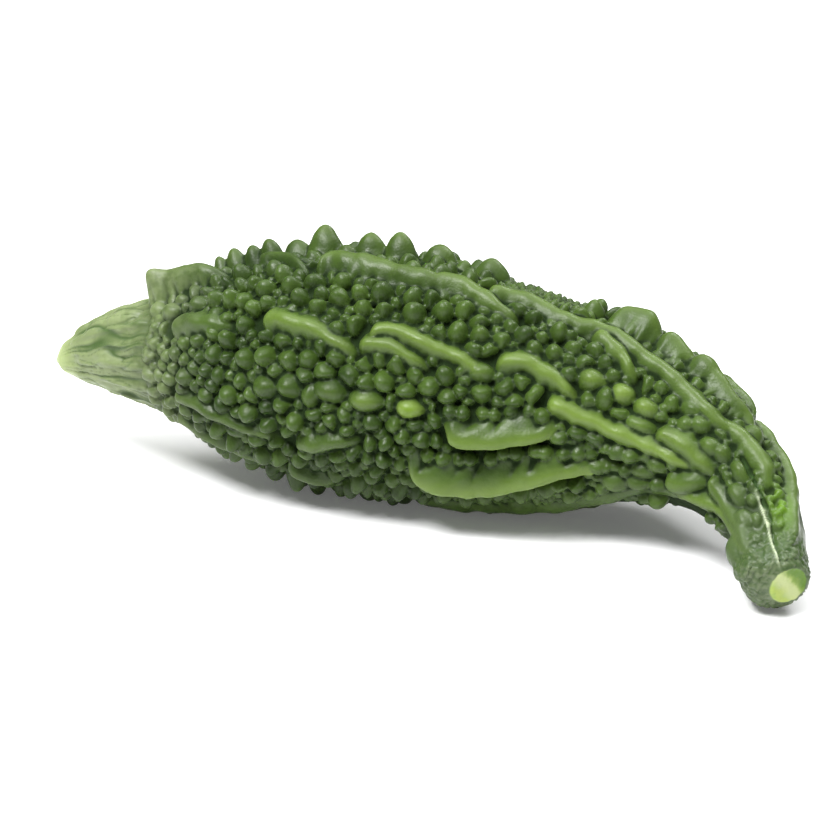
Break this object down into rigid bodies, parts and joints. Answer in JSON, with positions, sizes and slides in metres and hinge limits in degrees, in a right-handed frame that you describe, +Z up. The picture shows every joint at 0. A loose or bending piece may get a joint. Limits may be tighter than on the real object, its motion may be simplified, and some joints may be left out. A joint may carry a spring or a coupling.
{
  "type": "bitter gourd",
  "caption": "Whole bitter gourd lying on its belly: warty green fruit with long ridges, a smooth pale blossom end and a slim neck hooked to the front.",
  "frame": {"origin": "middle of the fruit's box at the level of the surface that it rests on", "axes": "+X along the fruit from the blossom end to the stem end, +Z up, -Y to the front, where the neck hooks to"},
  "size_m": [0.2265, 0.0753, 0.0709],
  "materials": {
    "green_skin": "waxy green skin, satin"
  },
  "bodies": {
    "root": {"bitter_gourd": "green_skin"}
  },
  "joints": []
}
